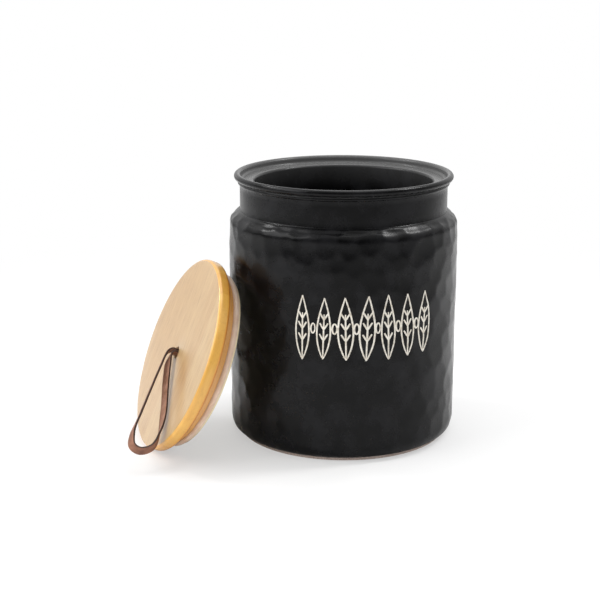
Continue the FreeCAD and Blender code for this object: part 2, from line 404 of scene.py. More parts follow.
@dataclass(frozen=True)
class BareStoneware:
    """Fired clay left without glaze under the foot: pale, pinkish, dead matt."""

    light: str = "e3d2c8"
    dark: str = "c3aea3"
    grit_mm: float = 0.7

    def make(self) -> Material:
        """Builds the material."""
        material, tree, shader, where = new_material("bare_stoneware")
        grit = add_node(tree, "TexNoise", inputs={"Vector": where},
                        Scale=1 / (self.grit_mm * MM), Detail=4.0).outputs["Fac"]
        tone = add_node(tree, "ValToRGB", inputs={"Fac": grit}, stops=((0.35, self.dark), (0.6, self.light)))
        bump = add_node(tree, "Bump", inputs={"Height": grit}, Strength=0.3, Distance=0.0002)
        feed(tree, shader, {"Base Color": tone.outputs["Color"], "Normal": bump.outputs["Normal"], "Roughness": 0.85})
        return material


@dataclass(frozen=True)
class SlipLine:
    """Cream slip drawn on by hand: a fine raised line, a little uneven."""

    light: str = "f2ece0"
    dark: str = "cfc5b4"
    patch_mm: float = 2.5

    def make(self) -> Material:
        """Builds the material."""
        material, tree, shader, where = new_material("cream_slip_line")
        patch = add_node(tree, "TexNoise", inputs={"Vector": where},
                         Scale=1 / (self.patch_mm * MM), Detail=3.0).outputs["Fac"]
        tone = add_node(tree, "ValToRGB", inputs={"Fac": patch}, stops=((0.3, self.dark), (0.55, self.light)))
        feed(tree, shader, {"Base Color": tone.outputs["Color"], "Roughness": 0.45, "IOR": 1.5})
        return material


@dataclass(frozen=True)
class Bamboo:
    """Laminated bamboo, satin lacquered: long fine fibres, strips of slightly different tone.

    A warm streak down the face from the hole is painted reflection of the strap, and the darker band by depth is
    painted shade, on the disc's lower rounding and on the plug above the seal.
    """

    name: str
    pale: str
    deep: str
    fibre: str
    roughness: float = 0.34
    strip_mm: float = 19.0
    fibre_mm: float = 0.55
    streak_mm: float = 5.0
    contrast: float = 0.5
    # Strength, tint and place of the painted reflection of the strap.
    strap_reflection: float = 0.0
    strap_reflection_gold: tuple[float, ...] = (0.80, 0.60, 0.17, 1.0)
    strap_reflection_off_mm: float = 14.5
    strap_reflection_half_mm: Point = (12.0, 1.0)
    strap_reflection_down_mm: Point = (6.0, 24.0)
    # Strength, tint and depths of the painted shade.
    painted_shade: float = 0.0
    painted_shade_tint: tuple[float, ...] = (0.84, 0.50, 0.17, 1.0)
    shade_from_mm: float = -5.4
    shade_to_mm: float = -7.6

    def lay_painted_light(self, tree: NodeTree, board: NodeSocket,
                wood: NodeSocket) -> NodeSocket:
        """Lays the painted light over the wood's colour: the warm streak of painted reflection of the strap, and the
        painted shade.

        Args:
            tree: The material's node tree.
            board: The place in the lid's frame.
            wood: The bare wood's colour.

        Returns:
            The colour with the painted light laid over.
        """
        # Painted reflection of the strap: a warm streak down the face from the hole.
        across = add_node(tree, "VectorMath", DOT, {0: board, 1: (0.7071, 0.7071, 0.0)}).outputs["Value"]
        off = add_node(tree, "Math", {"operation": "SUBTRACT"}, {0: across, 1: self.strap_reflection_off_mm * MM})
        away = add_node(tree, "Math", {"operation": "ABSOLUTE"}, {0: off.outputs[0]})
        inside = add_node(tree, "MapRange", SMOOTHSTEP, {"Value": away.outputs[0]},
                          From_Min=self.strap_reflection_half_mm[0] * MM, From_Max=self.strap_reflection_half_mm[1] * MM, To_Max=self.strap_reflection)
        down = add_node(tree, "VectorMath", DOT, {0: board, 1: (0.7071, -0.7071, 0.0)}).outputs["Value"]
        below = add_node(tree, "MapRange", SMOOTHSTEP, {"Value": down},
                         From_Min=self.strap_reflection_down_mm[0] * MM, From_Max=self.strap_reflection_down_mm[1] * MM)
        streak = add_node(tree, "Math", MULTIPLY, {0: inside.outputs[0], 1: below.outputs[0]})
        strap_reflection_gold = add_node(tree, "Mix", LAY_OVER, {0: streak.outputs[0], 6: wood, 7: self.strap_reflection_gold})
        # Painted shade: darker by depth in the lid, on the disc's lower rounding and on the plug above the seal.
        depth = add_node(tree, "SeparateXYZ", inputs={"Vector": board}).outputs["Z"]
        edge = add_node(tree, "MapRange", SMOOTHSTEP, {"Value": depth},
                        From_Min=self.shade_from_mm * MM, From_Max=self.shade_to_mm * MM, To_Max=self.painted_shade)
        dark = add_node(tree, "Mix", LAY_OVER, {0: edge.outputs[0], 6: strap_reflection_gold.outputs[2], 7: self.painted_shade_tint})
        return dark.outputs[2]

    def make(self, lid_frame: Matrix) -> Material:
        """Builds the material.

        Args:
            lid_frame: The lid's place. Its fibres run uphill in it.

        Returns:
            The material.
        """
        material, tree, shader, where = new_material(self.name)
        board = add_node(tree, "Mapping", {"vector_type": "TEXTURE"}, {"Vector": where},
                         Location=lid_frame.translation, Rotation=lid_frame.to_euler()).outputs["Vector"]
        along = add_node(tree, "Mapping", inputs={"Vector": board}, Scale=(1.0, 0.035, 1.0)).outputs["Vector"]
        fibre = add_node(tree, "TexNoise", inputs={"Vector": along},
                         Scale=1 / (self.fibre_mm * MM), Detail=3.0).outputs["Fac"]
        streak = add_node(tree, "TexNoise", inputs={"Vector": along},
                          Scale=1 / (self.streak_mm * MM), Detail=2.0).outputs["Fac"]
        level = add_node(tree, "SeparateXYZ", inputs={"Vector": board}).outputs["X"]
        strip = add_node(tree, "Math", {"operation": "DIVIDE"}, {0: level, 1: self.strip_mm * MM})
        number = add_node(tree, "Math", {"operation": "FLOOR"}, {0: strip.outputs[0]})
        tint = add_node(tree, "TexWhiteNoise", {"noise_dimensions": "1D"}, {"W": number.outputs[0]})
        blend = add_node(tree, "Mix", {"data_type": "FLOAT"}, {2: streak, 3: tint.outputs["Value"]}, Factor=0.35)
        tone = add_node(tree, "ValToRGB", inputs={"Fac": blend.outputs[0]}, stops=((0.2, self.deep), (0.75, self.pale)))
        fine = add_node(tree, "ValToRGB", inputs={"Fac": fibre}, stops=((0.34, self.fibre), (0.5, "ffffff")))
        body = add_node(tree, "Mix", LAY_OVER, {6: tone.outputs["Color"], 7: fine.outputs["Color"]},
                        Factor=self.contrast)
        bump = add_node(tree, "Bump", inputs={"Height": fibre}, Strength=0.12, Distance=0.0001)
        feed(tree, shader, {"Base Color": self.lay_painted_light(tree, board, body.outputs[2]), "Normal": bump.outputs["Normal"],
                            "Roughness": 0.5, "Coat Weight": 0.9, "Coat Roughness": self.roughness, "Coat IOR": 1.5})
        return material


@dataclass(frozen=True)
class Silicone:
    """Moulded food-grade silicone: milky, softly see-through at its edges."""

    colour: str = "f0d6c2"
    haze: str = "e2c2a8"
    haze_mm: float = 9.0

    def make(self) -> Material:
        """Builds the material."""
        material, tree, shader, where = new_material("milky_silicone")
        haze = add_node(tree, "TexNoise", inputs={"Vector": where},
                        Scale=1 / (self.haze_mm * MM), Detail=2.0).outputs["Fac"]
        tone = add_node(tree, "ValToRGB", inputs={"Fac": haze}, stops=((0.35, self.haze), (0.65, self.colour)))
        feed(tree, shader, {"Base Color": tone.outputs["Color"], "Roughness": 0.42, "IOR": 1.41,
                            "Subsurface Weight": 0.35, "Subsurface Radius": (0.003, 0.0026, 0.0022),
                            "Subsurface Scale": 1.0})
        return material


@dataclass(frozen=True)
class Leather:
    """Vegetable-tanned leather cut in a strip: a fine pebbled grain, darker where it is cut."""

    name: str
    light: str
    dark: str
    roughness: float = 0.55
    grain_mm: float = 0.55
    patch_mm: float = 6.0

    def make(self) -> Material:
        """Builds the material."""
        material, tree, shader, where = new_material(self.name)
        patch = add_node(tree, "TexNoise", inputs={"Vector": where},
                         Scale=1 / (self.patch_mm * MM), Detail=4.0).outputs["Fac"]
        grain = add_node(tree, "TexVoronoi", inputs={"Vector": where},
                         Scale=1 / (self.grain_mm * MM)).outputs["Distance"]
        tone = add_node(tree, "ValToRGB", inputs={"Fac": patch}, stops=((0.3, self.dark), (0.65, self.light)))
        bump = add_node(tree, "Bump", {"invert": True}, {"Height": grain}, Strength=0.35, Distance=0.00015)
        feed(tree, shader, {"Base Color": tone.outputs["Color"], "Normal": bump.outputs["Normal"],
                            "Roughness": self.roughness, "IOR": 1.5})
        return material


# The jar


@dataclass
class Hammering:
    """Shallow round marks beaten side by side into the body and the shoulder."""

    pitch: float = 13.0 * MM
    depth: float = 1.15 * MM
    shoulder_depth: float = 1.9 * MM
    scatter: float = 0.27
    depth_scatter: float = 0.35
    blur: float = 0.05 * MM
    seed: int = 7
    centers: np.ndarray = field(init=False)

    def lay_out(self, radius: float, low: float, high: float) -> None:
        """Chooses where the marks are.

        Args:
            radius: The body's radius.
            low: Where the lowest row is, measured up the outline.
            high: Where the highest row is.
        """
        rng = np.random.default_rng(self.seed)
        around = round(2 * math.pi * radius / self.pitch)
        rows = round((high - low) / (self.pitch * 0.87))
        marks = []
        for row in range(rows + 1):
            for column in range(around):
                angle = 2 * math.pi * (column + 0.5 * (row % 2)) / around
                shift = rng.uniform(-self.scatter, self.scatter, 2) * self.pitch
                full = self.depth if row < rows - 1 else self.shoulder_depth
                deep = full * (1 - self.depth_scatter * rng.uniform(0, 1))
                flat = self.pitch * rng.uniform(0.85, 1.2)
                way = low + (high - low) * row / rows + shift[1]
                marks.append((angle + shift[0] / radius, way, deep, flat))
        self.centers = np.array(marks)

    def dent(self, angle: np.ndarray, height: np.ndarray, radius: float) -> np.ndarray:
        """How deep the hammering goes at places of the wall.

        Args:
            angle: Each place's angle round the jar.
            height: Each place's way up the outline.
            radius: The body's radius.

        Returns:
            The depth at each place, in metres, never below zero.
        """
        total = np.zeros(len(angle))
        for mark_angle, mark_height, deep, flat in self.centers:
            near = np.abs(height - mark_height) < 1.3 * flat
            turn = (angle[near] - mark_angle + math.pi) % (2 * math.pi) - math.pi
            away = (turn * radius) ** 2 + (height[near] - mark_height) ** 2
            bowl = deep * (1 - away / flat**2)
            total[near] += np.exp(np.clip(bowl / self.blur, -40, 40))
        return self.blur * np.log1p(total)


@dataclass
class Jar:
    """The fired jar: hammered body, smooth neck, ring, rolled rim, and bare foot."""

    body_r: float = 77.0 * MM
    body_low_r: float = 76.7 * MM
    belly_z: float = 128.0 * MM
    corner_r: float = 9.0 * MM
    shoulder_z: float = 152.1 * MM
    shoulder_r: float = 8.5 * MM
    neck_r: float = 68.9 * MM
    neck_fillet: float = 1.0 * MM
    ring_z: float = 169.4 * MM
    ring_h: float = 3.1 * MM
    bead_z: float = 174.8 * MM
    bead_r: float = 2.15 * MM
    bead_center_r: float = 70.5 * MM
    foot_r: float = 70.0 * MM
    foot_w: float = 8.0 * MM
    foot_h: float = 2.0 * MM
    glaze_step: float = 0.5 * MM
    wall: float = 6.5 * MM
    base_t: float = 6.0 * MM
    mouth_r: float = 59.0 * MM
    ledge_drop: float = 4.9 * MM
    ledge_r: float = 2.0 * MM
    lip_r: float = 2.0 * MM
    throat_r: float = 3.0 * MM
    inner_corner_r: float = 9.0 * MM
    inner_shoulder_r: float = 8.0 * MM
    steps: int = 360
    row: float = 1.5 * MM
    fade_low: float = 7.0 * MM
    fade_off: float = 0.6 * MM
    fade_high: float = 3.5 * MM
    hammering: Hammering = field(default_factory=Hammering)

    def corner_center(self) -> Point:
        """Centre of the bottom corner's rounding."""
        reach = self.foot_r + self.glaze_step - (self.body_low_r - self.corner_r)
        return (self.body_low_r - self.corner_r, self.foot_h + math.sqrt(self.corner_r**2 - reach**2))

    def shoulder_center(self) -> Point:
        """Centre of the shoulder's rounding."""
        return (self.body_r - self.shoulder_r, self.shoulder_z - self.shoulder_r)

    def outside(self) -> list[Point]:
        """The outer outline, from the foot ring's inner edge to the top of the rim."""
        corner = self.corner_center()
        start = math.degrees(math.atan2(self.foot_h - corner[1], self.foot_r + self.glaze_step - corner[0]))
        shoulder = self.shoulder_center()
        line = [(self.foot_r - self.foot_w, 0.0), (self.foot_r - 1.2 * MM, 0.0)]
        line += arc((self.foot_r - 0.6 * MM, 0.6 * MM), 0.6 * MM, -90, 0, 4)
        line += [(self.foot_r, self.foot_h - 0.2 * MM), (self.foot_r + 0.15 * MM, self.foot_h)]
        line += arc(corner, self.corner_r, start, 0, 9)
        line += rise((self.body_low_r, corner[1]), (self.body_r, self.belly_z), self.row)
        line += rise((self.body_r, self.belly_z), (self.body_r, shoulder[1]), self.row)
        line += arc(shoulder, self.shoulder_r, 0, 78, 10)[1:]
        fillet = (self.neck_r + self.neck_fillet, self.shoulder_z + self.neck_fillet)
        line += arc(fillet, self.neck_fillet, 250, 180, 4)
        line += rise(line[-1], (self.neck_r, self.ring_z - 0.4 * MM), 2 * self.row)
        ring = (self.neck_r - 0.15 * MM, self.ring_z + 0.5 * self.ring_h)
        line += arc(ring, 0.5 * self.ring_h, -78, 75, 9)
        line += arc((self.bead_center_r, self.bead_z), self.bead_r, -62, 90, 14)
        return line

    def inside(self) -> list[Point]:
        """The inner outline, from the top of the rim to the middle of the floor."""
        ledge_z = self.bead_z + self.bead_r - self.ledge_drop
        ceiling = self.shoulder_z - self.wall
        inner_r = self.body_r - self.wall
        floor_z = self.foot_h + self.base_t
        arch = (inner_r - self.inner_shoulder_r, ceiling - self.inner_shoulder_r)
        corner = (inner_r - self.inner_corner_r, floor_z + self.inner_corner_r)
        bead_inner_r = self.bead_center_r - self.bead_r
        ledge = (bead_inner_r - self.ledge_r, ledge_z + self.ledge_r)
        line = arc((self.bead_center_r, self.bead_z), self.bead_r, 90, 180, 10)[1:]
        line += arc(ledge, self.ledge_r, 0, -90, 7)
        line += rise(line[-1], (self.mouth_r + self.lip_r, ledge_z), 2 * self.row)
        line += arc((self.mouth_r + self.lip_r, ledge_z - self.lip_r), self.lip_r, 90, 180, 6)[1:]
        line += rise(line[-1], (self.mouth_r, ceiling + self.throat_r), 3 * self.row)
        line += arc((self.mouth_r + self.throat_r, ceiling + self.throat_r), self.throat_r, 180, 270, 6)[1:]
        line += arc(arch, self.inner_shoulder_r, 90, 0, 8)
        line += rise((inner_r, arch[1]), (inner_r, corner[1]), 12 * self.row)
        line += arc(corner, self.inner_corner_r, 0, -90, 8)[1:]
        line += rise((corner[0], floor_z), (0.0, floor_z), 20 * self.row)
        return line

    def underside(self) -> list[Point]:
        """The recessed underside, from the axis out to the foot ring."""
        edge = self.foot_r - self.foot_w
        return [(0.0, self.foot_h), (0.5 * edge, self.foot_h), (edge - self.foot_h, self.foot_h)]

    def along_wall(self, radius: np.ndarray, height: np.ndarray) -> np.ndarray:
        """How far up the outer outline places of the wall are, over the shoulder too."""
        center = self.shoulder_center()
        over = np.arctan2(height - center[1], radius - center[0])
        return np.where(height > center[1], center[1] + self.shoulder_r * over, height)

    def wall_dent(self, angle: np.ndarray, radius: np.ndarray, height: np.ndarray) -> np.ndarray:
        """Depth of the hammering on the outer wall, faded out at the foot and the neck."""
        way = self.along_wall(radius, height)
        dent = self.hammering.dent(angle, way, self.body_r)
        low = ease((height - self.foot_h) / self.fade_low)
        high = ease((radius - self.neck_r - self.fade_off) / self.fade_high)
        return dent * low * high

    def surface_radius(self, angle: np.ndarray, height: np.ndarray) -> np.ndarray:
        """Radius of the hammered wall at places between the corner and the shoulder."""
        base_z = self.corner_center()[1]
        share = np.clip((height - base_z) / (self.belly_z - base_z), 0, 1)
        smooth_r = self.body_low_r + share * (self.body_r - self.body_low_r)
        return smooth_r - self.wall_dent(angle, smooth_r, height)

    def build(self, glaze: Material, bare: Material) -> Object:
        """Models the jar.

        Args:
            glaze: The glaze's material.
            bare: The unglazed foot's material.

        Returns:
            The jar, riding on its body and standing for its CAD node.
        """
        center = self.shoulder_center()
        self.hammering.lay_out(self.body_r, 5 * MM, center[1] + 1.2 * self.shoulder_r)
        piece = lathe("jar", self.underside() + self.outside() + self.inside(), self.steps)
        self.hammer(piece)
        piece.data.materials.append(glaze)
        piece.data.materials.append(bare)
        self.dress_foot(piece)
        smooth(piece, 40)
        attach(piece, "jar")
        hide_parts("jar_body")
        return piece

    def hammer(self, piece: Object) -> None:
        """Presses the hammer marks into the outer wall, square to it."""
        points = read_points(piece)
        radius = np.hypot(points[:, 0], points[:, 1])
        angle = np.arctan2(points[:, 1], points[:, 0])
        center = self.shoulder_center()
        height = points[:, 2]
        on_body = (height <= center[1]) & (radius > self.foot_r + 0.4 * MM) & (radius > self.inner_edge(height))
        off_arc = np.hypot(radius - center[0], height - center[1]) - self.shoulder_r
        on_shoulder = (height > center[1]) & (height < self.shoulder_z + 0.1 * MM) & (np.abs(off_arc) < 0.1 * MM)
        outer = on_body | on_shoulder
        dent = np.zeros(len(points))
        dent[outer] = self.wall_dent(angle[outer], radius[outer], height[outer])
        tilt = np.where(on_shoulder, np.arctan2(height - center[1], radius - center[0]), 0.0)
        points[:, 0] -= dent * np.cos(tilt) * np.cos(angle)
        points[:, 1] -= dent * np.cos(tilt) * np.sin(angle)
        points[:, 2] -= dent * np.sin(tilt)
        write_points(piece, points)

    def inner_edge(self, height: np.ndarray) -> np.ndarray:
        """A radius between the inner and the outer wall."""
        return np.where(height < 12 * MM, self.foot_r + 0.2 * MM, self.body_low_r - 3 * MM)

    def dress_foot(self, piece: Object) -> None:
        """Gives the foot ring and the underside the bare clay, by height."""
        limit = self.foot_h + 0.05 * MM
        for face in piece.data.polygons:
            face.material_index = 1 if face.center.z < limit else 0


class Motif(Enum):
    """The two figures that the ornament repeats."""

    TALL_LEAF = "tall leaf"
    SEED = "seed"


@dataclass
class Ornament:
    """A row of slim upright leaves in a fine cream line, with a seed between them."""

    jar: Jar
    center_deg: float = -78.0
    width: float = 98.0 * MM
    middle_z: float = 90.0 * MM
    leaf_h: float = 42.0 * MM
    leaf_w: float = 9.6 * MM
    seed_r: float = 1.5 * MM
    line_w: float = 1.25 * MM
    line_t: float = 0.22 * MM
    leaves: int = 7
    veins: tuple[float, ...] = (0.3, 0.48, 0.64)
    section: tuple[Point, ...] = ((-0.5, -0.15), (-0.28, 0.8), (0.0, 1.0), (0.28, 0.8), (0.5, -0.15), (-0.5, -0.15))
    seed: int = 11

    def strokes(self, motif: Motif) -> list[np.ndarray]:
        """The strokes of one figure.

        Args:
            motif: Which figure.

        Returns:
            Each stroke as points across and up from the figure's middle.
        """
        if motif is Motif.SEED:
            turn = np.linspace(0, 2 * math.pi, 17)
            return [np.stack([self.seed_r * np.cos(turn), 2.2 * self.seed_r * np.sin(turn)], 1)]
        share = np.linspace(0, 1, 25)
        belly = 0.5 * self.leaf_w * np.sin(math.pi * share**0.85)
        up = (share - 0.5) * self.leaf_h
        strokes = [np.stack([-belly, up], 1), np.stack([belly, up], 1)]
        strokes.append(np.stack([np.zeros(18), up[2:20] - 0.06 * self.leaf_h], 1))
        for at in self.veins:
            for side in (-1, 1):
                foot = np.array([0.0, (at - 0.5) * self.leaf_h])
                tip = foot + np.array([side * 0.30 * self.leaf_w, 0.11 * self.leaf_h])
                strokes.append(np.linspace(foot, tip, 5))
        return strokes

    def bead(self, stroke: np.ndarray) -> Object:
        """Models one stroke from a flat grid, rolled up into a low bead with closed ends.

        Args:
            stroke: Points across and up from the figure's middle.

        Returns:
            The bead, with its height above the wall along Y.
        """
        run = np.gradient(stroke, axis=0)
        run /= np.linalg.norm(run, axis=1)[:, None]
        side = np.stack([-run[:, 1], run[:, 0]], 1)
        count = len(stroke)
        taper = 0.55 + 0.45 * np.sin(math.pi * (np.arange(count) + 0.5) / count) ** 0.5
        sides = len(self.section) - 1
        bead, row, across = flat_grid("bead", count, sides)
        corner = np.array(self.section)[np.rint((across + 1) / 2 * sides).astype(int)]
        edge = stroke[row] + side[row] * (self.line_w * corner[:, 0] * taper[row])[:, None]
        write_points(bead, np.stack([edge[:, 0], self.line_t * corner[:, 1], edge[:, 1]], 1))
        bpy.ops.object.mode_set(mode="EDIT")
        bpy.ops.mesh.select_all(action="SELECT")
        bpy.ops.mesh.remove_doubles(threshold=0.000001)
        bpy.ops.mesh.fill_holes(sides=0)
        bpy.ops.object.mode_set(mode="OBJECT")
        return bead

    def joined(self, pieces: list[Object]) -> Object:
        """Joins pieces into the first of them."""
        make_active(pieces[0])
        for piece in pieces:
            piece.select_set(True)
        bpy.ops.object.join()
        return pieces[0]

    def copies(self) -> list[Object]:
        """Models each figure once and copies it along the row, a little unevenly, as by hand."""
        rng = np.random.default_rng(self.seed)
        first = {motif: self.joined([self.bead(stroke) for stroke in self.strokes(motif)]) for motif in Motif}
        placed = []
        for number in range(2 * self.leaves - 1):
            original = first[Motif.SEED if number % 2 else Motif.TALL_LEAF]
            figure = original.copy()
            figure.data = original.data.copy()
            bpy.context.scene.collection.objects.link(figure)
            points = read_points(figure)
            points[:, 0] *= rng.uniform(0.9, 1.08)
            points[:, 2] *= rng.uniform(0.93, 1.05)
            points[:, 0] += (0.5 * number + 0.5 - 0.5 * self.leaves) * self.width / self.leaves
            points[:, 0] += rng.uniform(-0.03, 0.03) * points[:, 2]
            write_points(figure, points)
            placed.append(figure)
        for original in first.values():
            bpy.data.objects.remove(original)
        return placed

    def wrap(self, piece: Object) -> None:
        """Lays the flat ornament on the hammered wall."""
        points = read_points(piece)
        angle = math.radians(self.center_deg) + points[:, 0] / self.jar.body_r
        height = self.middle_z + points[:, 2]
        radius = self.jar.surface_radius(angle, height) + points[:, 1]
        write_points(piece, np.stack([radius * np.cos(angle), radius * np.sin(angle), height], 1))

    def build(self, slip: Material) -> Object:
        """Models the whole ornament as one relief that follows the hammered wall.

        Args:
            slip: The line's material.

        Returns:
            The ornament, riding on the jar.
        """
        piece = self.joined(self.copies())
        piece.name = "leaf_ornament"
        self.wrap(piece)
        face_outwards(piece)
        piece.data.materials.append(slip)
        smooth(piece, 50)
        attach(piece, "jar")
        return piece


# The lid


def joint_named(name: str) -> dict:
    """The frame's joint with a name."""
    return next(joint for joint in frame["joints"] if joint["name"] == name)


def lid_place() -> Matrix:
    """The lid's own frame: level, uphill and out of its face, at the face's centre."""
    turn = joint_named("pull_turn")
    out = Vector(turn["axis"]).normalized()
    uphill = (Vector((0, 0, 1)) - out * out.z).normalized()
    level = uphill.cross(out)
    place = Matrix((level, uphill, out)).transposed().to_4x4()
    place.translation = Vector(turn["pos_m"])
    return place


@dataclass
class Lid:
    """Bamboo disc and plug with the silicone seal in the plug's groove."""

    place: Matrix
    disc_r: float = 64.9 * MM
    disc_t: float = 8.2 * MM
    disc_top_r: float = 2.5 * MM
    disc_bottom_r: float = 2.0 * MM
    plug_r: float = 57.6 * MM
    plug_t: float = 10.4 * MM
    plug_edge_r: float = 0.8 * MM
    hole_r: float = 4.0 * MM
    hole_edge_r: float = 0.8 * MM
    seal_r: float = 59.3 * MM
    seal_top: float = 5.2 * MM
    seal_w: float = 3.8 * MM
    seal_seat: float = 2.5 * MM
    seal_crown: float = 1.3 * MM
    steps: int = 240

    def disc_outline(self) -> list[Point]:
        """The disc's outline, round from the hole's edge and back."""
        hole = (self.hole_r + self.hole_edge_r, -self.hole_edge_r)
        top = (self.disc_r - self.disc_top_r, -self.disc_top_r)
        low = (self.disc_r - self.disc_bottom_r, -self.disc_t + self.disc_bottom_r)
        line = [(self.hole_r, -self.disc_t)]
        line += arc(hole, self.hole_edge_r, 180, 90, 5)
        line += rise(line[-1], (top[0], 0.0), 14 * MM)
        line += arc(top, self.disc_top_r, 90, 0, 10)[1:]
        line += arc(low, self.disc_bottom_r, 0, -90, 7)
        return line + [(self.hole_r, -self.disc_t)]

    def plug_outline(self) -> list[Point]:
        """The plug's outline, with the seal's groove."""
        bottom = -self.disc_t - self.plug_t
        groove = -self.disc_t - self.seal_top
        low = (self.plug_r - self.plug_edge_r, bottom + self.plug_edge_r)
        hole = (self.hole_r + self.hole_edge_r, bottom + self.hole_edge_r)
        line = [(self.hole_r, -self.disc_t), (self.plug_r, -self.disc_t), (self.plug_r, groove)]
        line += [(self.plug_r - self.seal_seat, groove), (self.plug_r - self.seal_seat, groove - self.seal_w)]
        line += [(self.plug_r, groove - self.seal_w)]
        line += arc(low, self.plug_edge_r, 0, -90, 5)
        line += rise(line[-1], (hole[0], bottom), 14 * MM)
        line += arc(hole, self.hole_edge_r, 270, 180, 5)[1:]
        return line + [(self.hole_r, -self.disc_t)]

    def seal_outline(self) -> list[Point]:
        """The seal's section: flat in its groove and crowned outside."""
        high = -self.disc_t - self.seal_top - 0.05 * MM
        low = high - self.seal_w + 0.1 * MM
        inner = self.plug_r - self.seal_seat + 0.1 * MM
        edge = self.seal_r - self.seal_crown
        crown = [(edge + self.seal_crown * math.sin(math.pi * i / 14) ** 0.7, high + (low - high) * i / 14)
                 for i in range(15)]
        return [(inner, high)] + crown + [(inner, low), (inner, high)]

    def turned_side(self, piece: Object) -> None:
        """Gives the disc's side, where the cutter exposed the strips, the second material."""
        for face in piece.data.polygons:
            reach = math.hypot(face.center.x, face.center.y)
            face.material_index = 1 if reach > self.disc_r - 0.62 * self.disc_top_r else 0

    def build(self, face: Material, side: Material, plug: Material,
              silicone: Material) -> None:
        """Models the disc, the plug and the seal.

        Args:
            face: The bamboo of the disc's faces.
            side: The bamboo of the disc's turned side.
            plug: The plug's bamboo.
            silicone: The seal's material.
        """
        parts = (("lid_top_disc", self.disc_outline(), (face, side), "lid_disc", "bamboo"),
                 ("lid_inner_plug", self.plug_outline(), (plug,), "lid_plug", "bamboo"),
                 ("lid_seal", self.seal_outline(), (silicone,), "seal_ring", "seal_silicone"))
        for name, outline, materials, node, slot in parts:
            piece = lathe(name, outline, self.steps)
            for material in materials:
                piece.data.materials.append(material)
            if len(materials) > 1:
                self.turned_side(piece)
            move_into_place(piece, self.place)
            smooth(piece, 30)
            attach(piece, "lid")
            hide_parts(node)
            log.info("%s: %d faces", name, len(piece.data.polygons))


